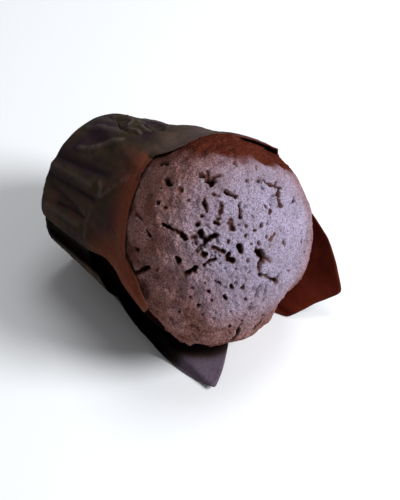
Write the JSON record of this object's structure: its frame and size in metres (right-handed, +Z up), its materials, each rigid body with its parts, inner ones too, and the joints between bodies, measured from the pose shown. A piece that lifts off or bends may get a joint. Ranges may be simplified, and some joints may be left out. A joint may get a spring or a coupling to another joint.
{
  "type": "muffin in paper case",
  "caption": "Tall domed chocolate muffin with a cracked, pitted crust, lying on its side in a folded dark brown paper case with pointed flaps.",
  "frame": {"origin": "on the table, under the middle of the bounding box of the lying muffin", "axes": "+Z up; the muffin's axis lies along Y with the dome towards -Y and 10 degrees up; +X to the right, seen from the dome"},
  "size_m": [0.0812, 0.0986, 0.0771],
  "materials": {
    "crumb": "matt baked chocolate crust, dark brown with a pale bloom",
    "paper": "dark brown greaseproof paper with a slight sheen"
  },
  "bodies": {
    "root": {"muffin": "crumb", "paper_case": "paper"}
  },
  "joints": []
}
